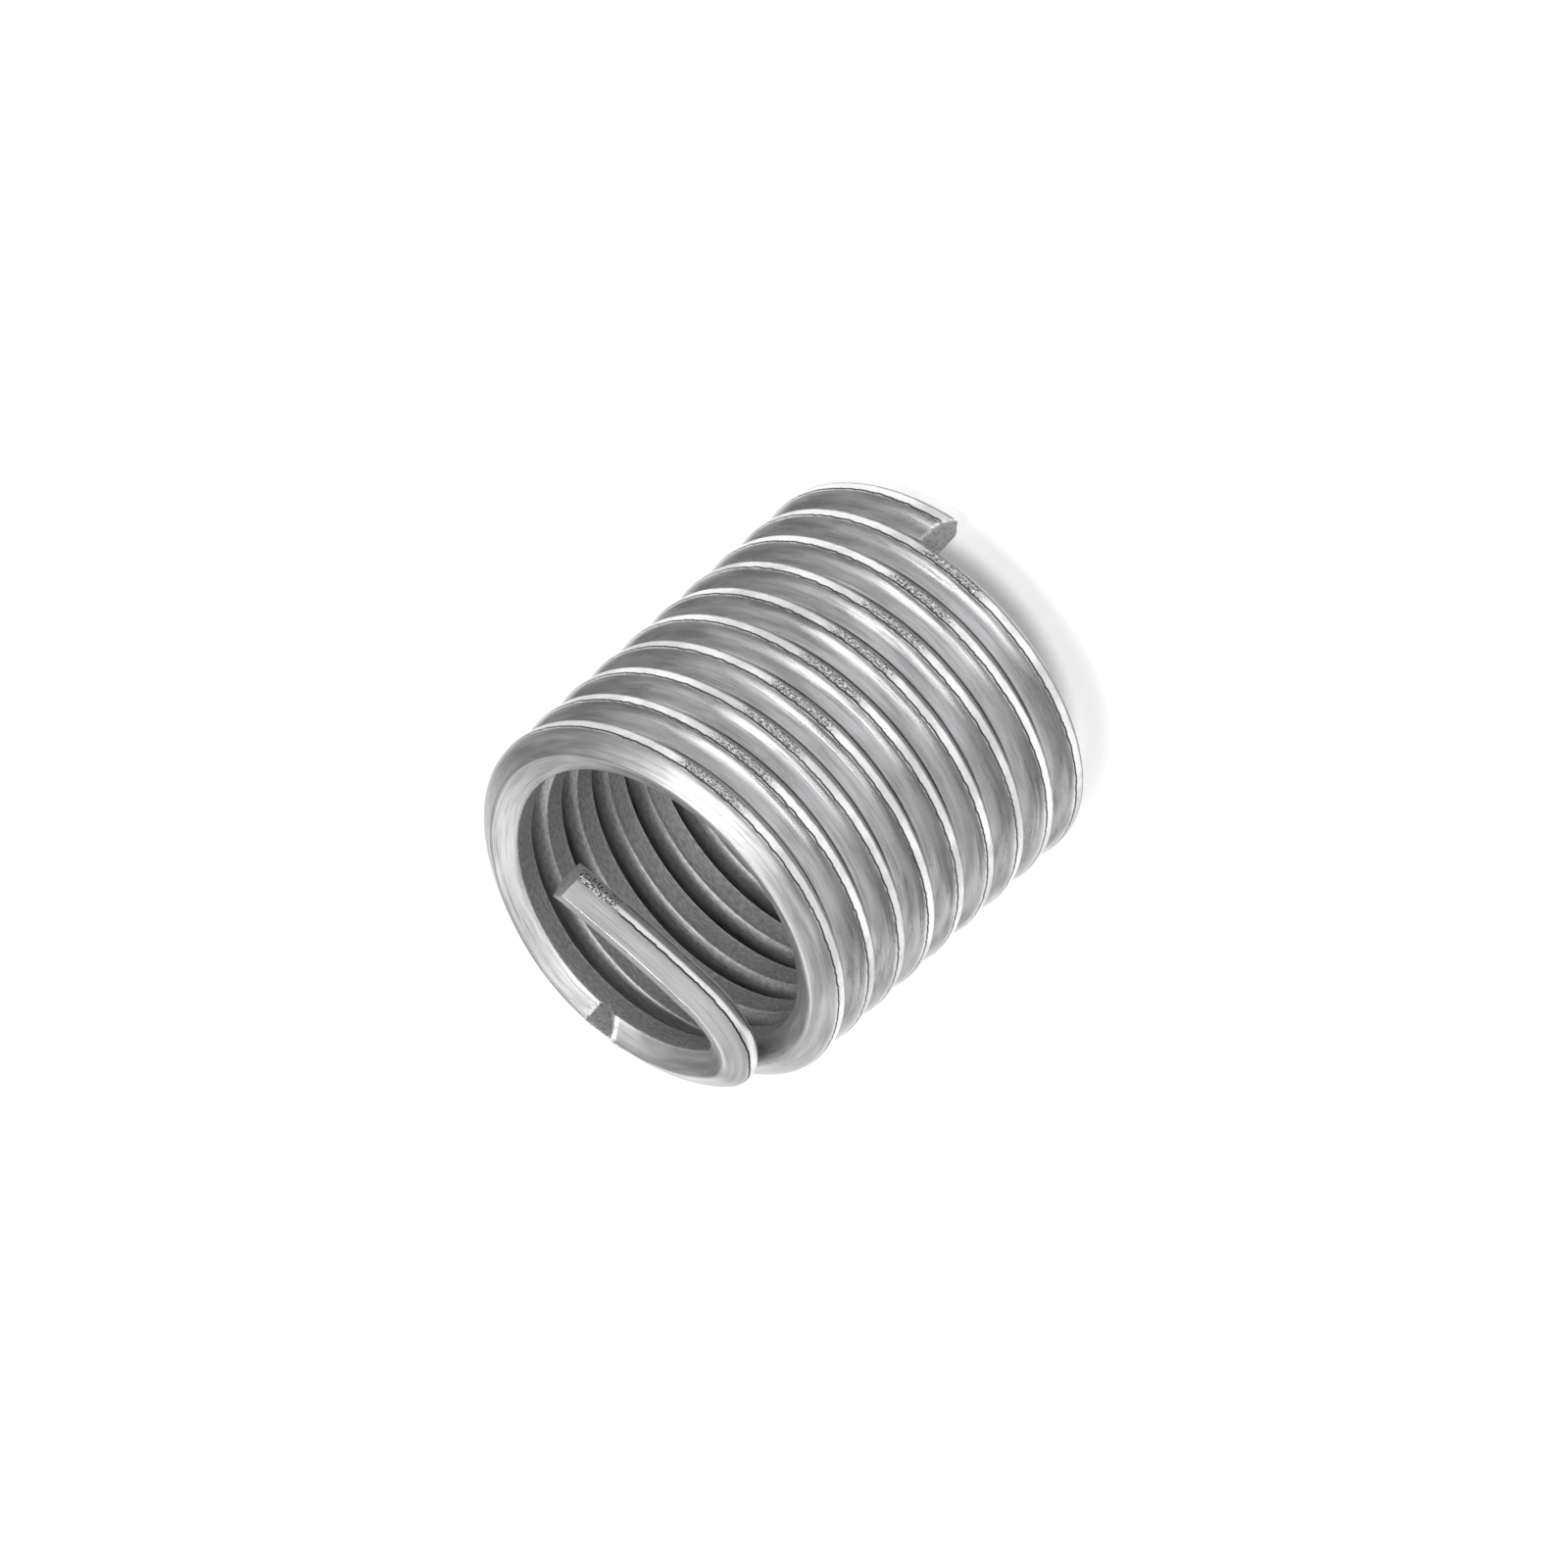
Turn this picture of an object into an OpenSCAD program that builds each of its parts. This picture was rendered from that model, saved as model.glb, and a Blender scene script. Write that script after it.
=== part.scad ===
// Coiled wire thread insert with a drive tang.
// One length of drawn wire winds up a right-hand helix. Near its upper end it is notched, tucks
// inwards, and turns back in a hairpin, so that its last stretch crosses the bore as the tang.
// The insert stands on its open end. Z is the coil axis and the tang is on top.

/* [Coil] */
// Diameter over the outer crests
outer_d = 18.85; // [18.6:0.05:19.1]
// Diameter at the ridges, where the outer and inner flanks meet
ridge_d = 16.8; // [16.6:0.05:17]
// Diameter of the bore between the inner crests
bore_d = 14.68; // [14.3:0.02:14.8]
// Rise of the wire in one turn
pitch = 2.04; // [2:0.01:2.4]
// Turns of full diameter, from the open end to the start of the tuck
turns = 9.4; // [4:0.1:10]
// Straight stretches that stand for one turn
facets = 30; // [24:2:36]

/* [Wire section] */
// Height of the wire from ridge to ridge, along the coil axis
wire_h = 1.96; // [1.8:0.01:1.98]
// Width of the outer crest's flat
crest_flat = 0.6; // [0.4:0.05:0.8]
// Width of the inner crest's flat
root_flat = 0.96; // [0.7:0.02:1.1]
// Width of the small flat on each ridge
ridge_flat = 0.12; // [0.06:0.01:0.2]

/* [Tuck] */
// Direction from the axis, seen from above, in which the full diameter ends
tuck_at = 80.5; // [0:0.5:360]
// Radius of the ridge line along the tuck
tuck_r = 7.65; // [7.4:0.05:7.9]
// Angle that the wire turns through along the tuck
tuck_angle = 77; // [70:0.5:80]
// Rise along the tuck
tuck_rise = 0.11; // [0.1:0.01:0.4]

/* [Hairpin] */
// Radius of the ridge line in the tight part of the hairpin
bend_r = 1.87; // [1.6:0.01:2.2]
// Angle that the wire turns through in the tight part
bend_angle = 92.5; // [85:0.5:100]
// Radius of the ridge line where the hairpin eases into the tang
ease_r = 4.35; // [3:0.05:6]
// Angle that the wire turns through in the easing part
ease_angle = 29; // [20:0.5:35]
// Rise along the whole hairpin
bend_rise = 0.26; // [0.1:0.01:0.4]

/* [Tang] */
// Length of the tang, from the hairpin to the middle of its end face
tang_len = 7.3; // [4:0.1:8]
// Radius of the tang's slight bow
tang_bow_r = 48; // [30:1:200]
// Angle by which the end face is cut back at the top
tang_lean = 16; // [0:1:25]
// Angle by which the end face is cut back on the outer crest's side
tang_skew = 23; // [0:1:30]

/* [Break notch] */
// Turn of the wire between the start of the tuck and the notch's bottom
notch_turn = 30; // [15:1:45]
// Depth of the notch under the upper ridge
notch_depth = 0.8; // [0.3:0.05:0.9]
// Length of the notch's ramp, on the coil's side of its bottom
notch_ramp = 1; // [0.5:0.05:1.4]
// Length of the notch's steep wall, on the tang's side of its bottom
notch_wall = 0.35; // [0.1:0.05:0.6]
// Angle by which the notch's bottom is turned from square across the wire
notch_skew = 18; // [0:1:40]

/* [Open end] */
// Angle by which the end face is cut back at the bottom
tip_lean = 18; // [0:1:25]
// Angle by which the end face is cut back on the inner crest's side
tip_skew = 13; // [0:1:25]
// Length of the bevel along the upper ridge
bevel_len = 0.55; // [0.3:0.05:1]
// Depth of the bevel under the upper ridge
bevel_depth = 0.8; // [0.4:0.05:0.9]

/* [Hidden] */
// radii of the outer crest, the ridge line and the inner crest
r_crest = outer_d / 2;
r_ridge = ridge_d / 2;
r_bore = bore_d / 2;
// the wire is swept a little thick on its inner crest, and the bore is then reamed round
stock = 0.06;
// slope of the inner flanks, as height for each millimetre of radius
root_slope = (wire_h - root_flat) / 2 / (r_ridge - ridge_flat / 2 - r_bore);
// half height of the inner crest's flat before reaming
swept_root = root_flat / 2 - stock * root_slope;
// segments in the parts of the wire after the helix
tuck_n = 9;
bend_n = 9;
ease_n = 3;
tang_n = 3;

// half the wire's section, lower edge first, as [distance outwards from the ridge line, height]
lower_half = [
    [r_bore - stock - r_ridge, -swept_root],
    [-ridge_flat / 2, -wire_h / 2],
    [ridge_flat / 2, -wire_h / 2],
    [r_crest - r_ridge, -crest_flat / 2],
];
// the whole section, counter-clockwise when the wire runs away from the eye
section = concat(lower_half, [for (i = [3:-1:0]) [lower_half[i].x, -lower_half[i].y]]);
m = len(section);

function last_of(v) = v[len(v) - 1];

// stations [x, y, z, heading] of an arc of radius r that goes on from station s, turning left
function arc(s, r, sweep, rise, n) =
    let (c = [s.x, s.y] - r * [sin(s[3]), -cos(s[3])])
    [for (i = [1:n])
        let (h = s[3] + sweep * i / n)
        [c.x + r * sin(h), c.y - r * cos(h), s.z + rise * i / n, h]];

// the wire's path along its ridge line
tip_at = tuck_at - 360 * turns;
tip = [r_ridge * cos(tip_at), r_ridge * sin(tip_at), wire_h / 2, tip_at + 90];
helix = arc(tip, r_ridge, 360 * turns, pitch * turns, round(turns * facets));
tuck = arc(last_of(helix), tuck_r, tuck_angle, tuck_rise, tuck_n);
bend_share = bend_r * bend_angle / (bend_r * bend_angle + ease_r * ease_angle);
bend = arc(last_of(tuck), bend_r, bend_angle, bend_rise * bend_share, bend_n);
ease = arc(last_of(bend), ease_r, ease_angle, bend_rise * (1 - bend_share), ease_n);
tang = arc(last_of(ease), tang_bow_r, tang_len / tang_bow_r * 180 / PI, 0, tang_n);
stations = concat([tip], helix, tuck, bend, ease, tang);
last = len(stations) - 1;

// height up to which the bore is reamed, just under the tang
ream_gap = 0.3;
ream_top = last_of(tang).z - wire_h / 2 - ream_gap;

// how far a section point p is moved back along the wire, so that both end faces slant
function slant(k, p) =
    k == 0 ? p.x * tan(tip_skew) + p.y * tan(tip_lean)
    : k == last ? p.x * tan(tang_skew) + p.y * tan(tang_lean)
    : 0;

// the section's points at station k
function ring(k) =
    let (s = stations[k], out = [sin(s[3]), -cos(s[3])], on = [cos(s[3]), sin(s[3])])
    [for (p = section)
        let (q = [s.x, s.y] + p.x * out - slant(k, p) * on)
        [q.x, q.y, s.z + p.y]];

// the wire as one closed skin of triangles
module wire() {
    points = [for (k = [0:last]) each ring(k)];
    start_face = [for (j = [m - 1:-1:0]) j];
    end_face = [for (j = [0:m - 1]) last * m + j];
    sides = [for (k = [0:last - 1], j = [0:m - 1])
        let (a = k * m + j, b = k * m + (j + 1) % m)
        each [[a, b, b + m], [a, b + m, a + m]]];
    polyhedron(points, concat([start_face], sides, [end_face]), convexity = 20);
}

// the round bore through the turns below the tang
module bore() {
    below = 1;
    translate([0, 0, -below])
        cylinder(r = r_bore, h = ream_top + below, $fn = 96);
}

// a cut right across the wire at station s, with a profile of [distance on from s, height above it]
module cut_across(s, skew, profile) {
    span = 2 * (r_crest - r_bore);
    translate([s.x, s.y, s.z])
        rotate([90, 0, s[3] + skew])
            linear_extrude(height = span, center = true)
                polygon(profile);
}

// the V-shaped notch at which the tang is broken off, drawn to twice its depth
module break_notch() {
    rise = tuck_rise * notch_turn / tuck_angle;
    s = arc(last_of(helix), tuck_r, notch_turn, rise, 1)[0];
    bottom = wire_h / 2 - notch_depth;
    top = bottom + 2 * notch_depth;
    cut_across(s, notch_skew, [[-2 * notch_ramp, top], [0, bottom], [2 * notch_wall, top]]);
}

// the bevel on the open end's upper ridge, which stays clear of the turn above
module tip_bevel() {
    clear = (pitch - wire_h) / 2;
    top = wire_h / 2 + clear;
    slope = bevel_depth / bevel_len;
    back = -0.7;
    front = bevel_len + clear / slope;
    cut_across(tip, 0, [[back, top + (back - front) * slope], [front, top], [back, top]]);
}

module wire_coil() {
    color("silver")
        difference() {
            wire();
            bore();
            break_notch();
            tip_bevel();
        }
}

wire_coil();
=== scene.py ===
"""Coiled wire thread insert with a drive tang: its fine wire, drawn steel and plain studio."""

import logging
import math
from dataclasses import dataclass, field
from enum import Enum
from functools import cached_property
from typing import Iterable, Union

import bmesh
import bpy
from bpy.types import Material, Node, NodeSocket as Socket, NodeTree, Object
from mathutils import Matrix, Vector, noise


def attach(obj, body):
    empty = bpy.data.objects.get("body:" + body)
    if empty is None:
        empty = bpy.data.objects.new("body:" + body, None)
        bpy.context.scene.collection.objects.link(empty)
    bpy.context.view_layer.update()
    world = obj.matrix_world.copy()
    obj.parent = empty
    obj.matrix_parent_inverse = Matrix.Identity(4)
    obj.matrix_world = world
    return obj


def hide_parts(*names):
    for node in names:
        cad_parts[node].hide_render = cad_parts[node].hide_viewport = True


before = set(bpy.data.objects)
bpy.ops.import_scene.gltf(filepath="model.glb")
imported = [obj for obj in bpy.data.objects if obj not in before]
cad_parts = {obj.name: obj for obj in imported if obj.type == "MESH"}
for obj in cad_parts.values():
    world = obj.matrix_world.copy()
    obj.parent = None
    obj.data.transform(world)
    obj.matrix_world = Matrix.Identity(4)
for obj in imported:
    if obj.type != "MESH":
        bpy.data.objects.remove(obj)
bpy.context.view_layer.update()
MM = 0.001
TORN_RIM = 0.32
WHITE = (1.0, 1.0, 1.0, 1.0)

log = logging.getLogger("thread_insert")
Value = Union[float, tuple[float, ...], Socket]
Ring = list[tuple[Vector, float]]
Span = tuple[float, float]
Triple = tuple[float, float, float]
BMesh = bmesh.types.BMesh


class Attribute(Enum):
    """Names of the numbers that each point of the wire carries.

    ALONG and ACROSS are distances in millimetres. CUT is 1 where a tool has cut the wire, and
    between 0 and 0.5 on the torn rim beside a cut.
    """

    ALONG = "along"
    ACROSS = "across"
    CUT = "cut"

    def layer(self, bm: BMesh) -> bmesh.types.BMLayerItem:
        """The mesh's layer of this number."""
        return bm.verts.layers.float[self.value]

    @classmethod
    def add_layers(cls, bm: BMesh) -> None:
        """Adds a layer for each of the numbers."""
        for which in cls:
            bm.verts.layers.float.new(which.value)


def link_object(name: str, data: bpy.types.ID) -> Object:
    """Makes an object and links it to the scene.

    Args:
        name: The object's name.
        data: Its mesh, lamp or camera.

    Returns:
        The object.
    """
    made = bpy.data.objects.new(name, data)
    bpy.context.scene.collection.objects.link(made)
    return made


def mesh_of(bm: BMesh, name: str) -> bpy.types.Mesh:
    """Turns a bmesh into a mesh and frees it.

    Args:
        bm: What to turn.
        name: The mesh's name.

    Returns:
        The mesh.
    """
    mesh = bpy.data.meshes.new(name)
    bm.to_mesh(mesh)
    bm.free()
    return mesh


@dataclass(frozen=True)
class Station:
    """A place on the wire's ridge line."""

    x: float
    y: float
    z: float
    heading: float

    @property
    def on(self) -> Vector:
        """Direction in which the wire runs."""
        turn = math.radians(self.heading)
        return Vector((math.cos(turn), math.sin(turn), 0.0))

    @property
    def out(self) -> Vector:
        """Direction to the wire's outer crest."""
        turn = math.radians(self.heading)
        return Vector((math.sin(turn), -math.cos(turn), 0.0))

    @property
    def place(self) -> Vector:
        """Position of the station."""
        return Vector((self.x, self.y, self.z))


@dataclass(frozen=True)
class Bend:
    """A stretch of wire that turns left on one radius while it rises."""

    radius: float
    sweep: float
    rise: float
    steps: int

    @property
    def length(self) -> float:
        """Length of the ridge line along the stretch."""
        return self.radius * math.radians(self.sweep)

    def centre(self, start: Station) -> Vector:
        """Centre that the stretch turns about when it begins at a station."""
        return start.place - self.radius * start.out

    def end(self, start: Station, share: float = 1.0) -> Station:
        """Station at a share of the way along the stretch.

        Args:
            start: Where the stretch begins.
            share: Part of the whole sweep, from 0 to 1.

        Returns:
            The station there.
        """
        heading = start.heading + self.sweep * share
        turned = Station(0.0, 0.0, 0.0, heading)
        place = self.centre(start) + self.radius * turned.out
        return Station(place.x, place.y, start.z + self.rise * share, heading)


@dataclass(frozen=True)
class WireSection:
    """The drawn wire's diamond section, with flats on its crests."""

    height: float = 1.96
    crest_out: float = 1.025
    crest_flat: float = 0.60
    root_in: float = 1.06
    root_flat: float = 0.96
    ridge_flat: float = 0.12
    edge_round: float = 0.045
    edge_steps: int = 2
    crest_crown: float = 0.04
    crown_reach: float = 0.08
    shortest_side: float = 0.2
    shortest_flank: float = 1.0
    flank_rows: int = 6
    flat_rows: int = 4

    def corners(self) -> list[Vector]:
        """Corners as distance outwards and height, counter-clockwise from the lower ridge.

        Returns:
            Eight corners, the first on the outer side of the lower ridge.
        """
        half, ridge = self.height / 2, self.ridge_flat / 2
        crest, root = self.crest_flat / 2, self.root_flat / 2
        upper = [(self.crest_out, crest), (ridge, half), (-ridge, half), (-self.root_in, root)]
        lower = [(x, -y) for x, y in upper]
        order = [lower[1], lower[0], *upper, lower[3], lower[2]]
        return [Vector((x, y)) for x, y in order]

    def outline(self) -> list[Vector]:
        """Draws the section with rounded edges and with points along its sides.

        Returns:
            Places of distance outwards and height, counter-clockwise from the lower ridge.
        """
        corners = self.corners()
        bm = bmesh.new()
        made = bmesh.ops.create_circle(bm, segments=len(corners), radius=1.0, cap_ends=True)
        face = made["verts"][0].link_faces[0]
        for vert, corner in zip([loop.vert for loop in face.loops], corners):
            vert.co = (corner.x, corner.y, 0.0)
        bmesh.ops.bevel(
            bm, geom=list(face.verts), offset=self.edge_round, affect="VERTICES",
            segments=self.edge_steps, profile=0.5, material=-1,
        )
        for edge in list(bm.edges):
            span = edge.calc_length()
            if span > self.shortest_side:
                rows = self.flank_rows if span > self.shortest_flank else self.flat_rows
                bmesh.ops.subdivide_edges(bm, edges=[edge], cuts=rows)
        bm.normal_update()
        bm.faces.ensure_lookup_table()
        face = bm.faces[0]
        places = [loop.vert.co.copy() for loop in face.loops]
        if face.normal.z < 0:
            places.reverse()
        bm.free()
        first = min(range(len(places)), key=lambda i: (places[i].y, -places[i].x))
        return places[first:] + places[:first]

    def ring(self, at: Station) -> Ring:
        """Sets the section up at a station, with its crest crowned.

        Args:
            at: Station at the wire's start.

        Returns:
            Places round the section and their distances across the skin from the lower ridge.
        """
        places = self.outline()
        run, ring = 0.0, []
        for i, place in enumerate(places):
            run += (place - places[i - 1]).length if i else 0.0
            if place.x > self.crest_out - self.crown_reach:
                share = min(1.0, abs(place.y) / (self.crest_flat / 2))
                place.x -= self.crest_crown * share ** 2
            ring.append((at.place + place.x * at.out + Vector((0.0, 0.0, place.y)), run))
        return ring


@dataclass(frozen=True)
class SectionBands:
    """Where the flats and ridges lie, as distance across the skin from the lower ridge."""

    crest: Span
    ridge: float
    root: Span

    @classmethod
    def of(cls, section: WireSection) -> "SectionBands":
        """Measures the bands on a section.

        Args:
            section: The wire's section.

        Returns:
            The bands, as a line round the corners gives them.
        """
        corners = section.corners()
        runs = [0.0]
        for a, b in zip(corners, corners[1:]):
            runs.append(runs[-1] + (b - a).length)
        return cls((runs[1], runs[2]), (runs[3] + runs[4]) / 2, (runs[5], runs[6]))


def uneven(cells: Triple, first: float, second: float = 0.0) -> float:
    """Noise between -1 and 1 at two distances, with cells for each millimetre and a third place."""
    return noise.noise(Vector((first * cells[0], second * cells[1], cells[2])))


def torn(gap: float) -> float:
    """CUT on the torn rim beside a cut, at a distance below the cut's surface."""
    return 0.5 * (1.0 - gap / TORN_RIM)


@dataclass(frozen=True)
class Notch:
    """The V notch at which the tang breaks off, with the marks that its tool left."""

    turn: float = 30.0
    depth: float = 0.8
    ramp: float = 1.0
    wall: float = 0.35
    skew: float = 18.0
    reach_back: float = 3.0
    reach_on: float = 2.0
    roughness: float = 0.012
    rough_cells: Triple = (2.0, 1.5, 1.7)
    waver: float = 0.10
    waver_cells: Triple = (2.3, 0.0, 4.1)
    lip_height: float = 0.10
    lip_gap: float = 0.06
    lip_width: float = 0.16
    lip_from: float = 0.25
    lip_share: float = 0.6
    lip_cells: Triple = (6.0, 2.0, 0.0)

    def cut(self, bm: BMesh, at: Station, begins: float, half: float) -> None:
        """Cuts the notch, and raises the lip that the tool left.

        Args:
            bm: Mesh of the whole wire.
            at: Station at the notch's bottom.
            begins: Distance along the wire of that station.
            half: Half the height of the wire's section.
        """
        along, cut = Attribute.ALONG.layer(bm), Attribute.CUT.layer(bm)
        first, last = begins - self.reach_back, begins + self.reach_on
        turn = math.radians(at.heading + self.skew)
        run = Vector((math.cos(turn), math.sin(turn), 0.0))
        bottom = at.z + half - self.depth
        for vert in bm.verts:
            if not first < vert[along] < last:
                continue
            local = vert.co - at.place
            d = local.dot(run)
            side = local.dot(at.out)
            rough = self.roughness * uneven(self.rough_cells, side, d)
            d += self.waver * uneven(self.waver_cells, side)
            slope = self.depth / (self.wall if d > 0 else self.ramp)
            top = bottom + abs(d) * slope + rough
            lip = max(0.0, 1.0 - abs(d - self.wall - self.lip_gap) / self.lip_width)
            gap = top - vert.co.z
            if gap < 0.0:
                vert.co.z = top
                vert[cut] = 1.0
                continue
            if lip > 0.0 and local.z > self.lip_from:
                share = self.lip_share + uneven(self.lip_cells, side, 1.0)
                vert.co.z += self.lip_height * lip * share
            if gap < TORN_RIM:
                vert[cut] = torn(gap)


@dataclass(frozen=True)
class TipBevel:
    """The bevel on the open end's upper ridge, with small burrs on its rim."""

    length: float = 0.55
    depth: float = 0.8
    reach: float = 2.5
    roughness: float = 0.015
    rough_cells: float = 4.0
    burr_length: float = 0.12
    burr_cells: float = 3.1
    burr_reach: float = 0.5

    def cut(self, bm: BMesh, tip: Station, half: float) -> None:
        """Cuts the bevel and draws out the burrs.

        Args:
            bm: Mesh of the whole wire.
            tip: Station at the open end.
            half: Half the height of the wire's section.
        """
        along, cut = Attribute.ALONG.layer(bm), Attribute.CUT.layer(bm)
        slope = self.depth / self.length
        for vert in bm.verts:
            if vert[along] > self.reach:
                continue
            local = vert.co - tip.place
            top = half + (local.dot(tip.on) - self.length) * slope
            gap = top - local.z
            if gap < 0.0:
                vert.co.z = tip.z + top + self.roughness * noise.noise(local * self.rough_cells)
                vert[cut] = 1.0
            elif gap < TORN_RIM and vert[cut] < 1.0:
                vert[cut] = torn(gap)
            if vert[along] < self.burr_reach:
                burr = max(0.0, noise.noise(local * self.burr_cells))
                burr *= self.burr_reach - vert[along]
                vert.co -= self.burr_length * burr * tip.on


@dataclass(frozen=True)
class EndFace:
    """How an end face is cut back, in degrees at the top and on the crest's side."""

    lean: float
    skew: float
    ease: float = 1.6
    rim_width: float = 0.03
    rim_rows: int = 2

    def slant(self, bm: BMesh, end: Station, begins: float) -> None:
        """Slants the face, and eases the slant out along the wire.

        Args:
            bm: Mesh of the whole wire.
            end: Station at the middle of the face.
            begins: Distance along the wire of that station.
        """
        along = Attribute.ALONG.layer(bm)
        for vert in bm.verts:
            share = 1.0 - abs(vert[along] - begins) / self.ease
            if share > 0.0:
                local = vert.co - end.place
                slant = local.dot(end.out) * math.tan(math.radians(self.skew))
                slant += local.z * math.tan(math.radians(self.lean))
                vert.co -= share * slant * end.on

    def inset(self, bm: BMesh, cap: bmesh.types.BMFace) -> None:
        """Gives the face narrow rims, and marks what lies inside them as cut.

        Args:
            bm: Mesh of the whole wire.
            cap: The face.
        """
        cut = Attribute.CUT.layer(bm)
        for _ in range(self.rim_rows):
            bmesh.ops.inset_individual(bm, faces=[cap], thickness=self.rim_width, depth=0.0)
        for vert in cap.verts:
            vert[cut] = 1.0


@dataclass
class CoiledWire:
    """The insert's one length of wire, from its open end to the end of the tang."""

    section: WireSection = field(default_factory=WireSection)
    ridge_r: float = 8.4
    pitch: float = 2.04
    turns: float = 9.4
    tuck_at: float = 80.5
    steps_a_turn: int = 112
    tip_turn: float = 12.0
    tip_steps: int = 24
    tuck: Bend = Bend(7.65, 77.0, 0.11, 160)
    hairpin: Bend = Bend(1.87, 92.5, 0.15, 44)
    ease: Bend = Bend(4.35, 29.0, 0.11, 24)
    tang: Bend = Bend(48.0, math.degrees(7.3 / 48.0), 0.0, 90)
    tip_face: EndFace = EndFace(18.0, 13.0)
    tang_face: EndFace = EndFace(16.0, 23.0)
    notch: Notch = Notch()
    bevel: TipBevel = TipBevel()
    press_angle: float = 25.0
    press_from: float = 0.08
    press_ease: float = 3.0
    skin_waver: float = 0.008
    waver_cells: Triple = (0.45, 1.2, 3.0)
    weld: float = 1e-5
    sharp_angle: float = 40.0
    block_steps: int = 36
    length: float = 0.0
    path: list[tuple[float, Station, Bend]] = field(default_factory=list)

    @property
    def tip(self) -> Station:
        """Station at the open end."""
        azimuth = self.tuck_at - 360.0 * self.turns
        turn = math.radians(azimuth)
        return Station(
            self.ridge_r * math.cos(turn), self.ridge_r * math.sin(turn),
            self.section.height / 2, azimuth + 90.0,
        )

    def helix(self) -> list[Bend]:
        """The full-diameter turns, with short steps near the open end.

        Returns:
            The stretches in order.
        """
        rest = 360.0 * self.turns - self.tip_turn
        rise = self.pitch / 360.0
        steps = round(rest / 360.0 * self.steps_a_turn)
        return [
            Bend(self.ridge_r, self.tip_turn, self.tip_turn * rise, self.tip_steps),
            Bend(self.ridge_r, rest, rest * rise, steps),
        ]

    def sweep(self, whole: BMesh, ring: Ring, start: Station, bend: Bend) -> Ring:
        """Carries the open ring along one stretch, in short blocks that join the whole.

        Args:
            whole: Mesh that takes the blocks.
            ring: Places and distances across of the open ring.
            start: Station of the ring.
            bend: Stretch to follow.

        Returns:
            The ring at the stretch's end.
        """
        centre = bend.centre(start)
        step = bend.length / bend.steps
        done = 0
        while done < bend.steps:
            steps = min(self.block_steps, bend.steps - done)
            part = bmesh.new()
            Attribute.add_layers(part)
            along, across = Attribute.ALONG.layer(part), Attribute.ACROSS.layer(part)
            verts = [part.verts.new(place) for place, _ in ring]
            for vert, (_, run) in zip(verts, ring):
                vert[across] = run
            edges = [part.edges.new((verts[i - 1], vert)) for i, vert in enumerate(verts)]
            bmesh.ops.spin(
                part, geom=[*verts, *edges], cent=centre, axis=(0.0, 0.0, 1.0),
                dvec=(0.0, 0.0, bend.rise / bend.steps),
                angle=math.radians(bend.sweep * steps / bend.steps), steps=steps,
                use_merge=False, use_normal_flip=False, use_duplicate=False,
            )
            for i, vert in enumerate(part.verts):
                vert[along] = self.length + step * (done + i // len(ring))
            part.verts.ensure_lookup_table()
            ring = [(vert.co.copy(), vert[across]) for vert in part.verts[-len(ring):]]
            block = mesh_of(part, "wire_block")
            whole.from_mesh(block)
            bpy.data.meshes.remove(block)
            done += steps
        self.path.append((self.length, start, bend))
        self.length += bend.length
        return ring

    def station_at(self, along: float) -> Station:
        """Station at a distance along the wire from the open end."""
        begins, start, bend = [leg for leg in self.path if leg[0] <= along + 1e-6][-1]
        return bend.end(start, (along - begins) / bend.length)

    def press_tang(self, bm: BMesh, begins: float) -> None:
        """Presses the crest's upper edge down along the hairpin and the tang.

        Args:
            bm: Mesh of the whole wire.
            begins: Distance along the wire where the pressed stretch begins.
        """
        along = Attribute.ALONG.layer(bm)
        slope = math.tan(math.radians(self.press_angle))
        for vert in bm.verts:
            share = min(1.0, (vert[along] - begins) / self.press_ease)
            if share <= 0.0:
                continue
            at = self.station_at(vert[along])
            local = vert.co - at.place
            limit = self.section.crest_out - slope * (local.z - self.press_from)
            over = local.dot(at.out) - limit
            if local.z > self.press_from and over > 0.0:
                vert.co -= share * over * at.out

    def close_ends(self, bm: BMesh, tang_end: Station) -> None:
        """Slants both ends and closes each with a face that has its own narrow rim.

        Args:
            bm: Mesh of the whole wire.
            tang_end: Station at the middle of the tang's end face.
        """
        self.tip_face.slant(bm, self.tip, 0.0)
        self.tang_face.slant(bm, tang_end, self.length)
        rims = [edge for edge in bm.edges if edge.is_boundary]
        for cap in bmesh.ops.holes_fill(bm, edges=rims, sides=0)["faces"]:
            self.tip_face.inset(bm, cap)

    def waver(self, bm: BMesh) -> None:
        """Gives the drawn wire its slight waver.

        Args:
            bm: Mesh of the whole wire.
        """
        along, across = Attribute.ALONG.layer(bm), Attribute.ACROSS.layer(bm)
        for vert in bm.verts:
            share = abs(uneven(self.waver_cells, vert[along], vert[across]))
            vert.co -= self.skin_waver * share * vert.normal

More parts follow.
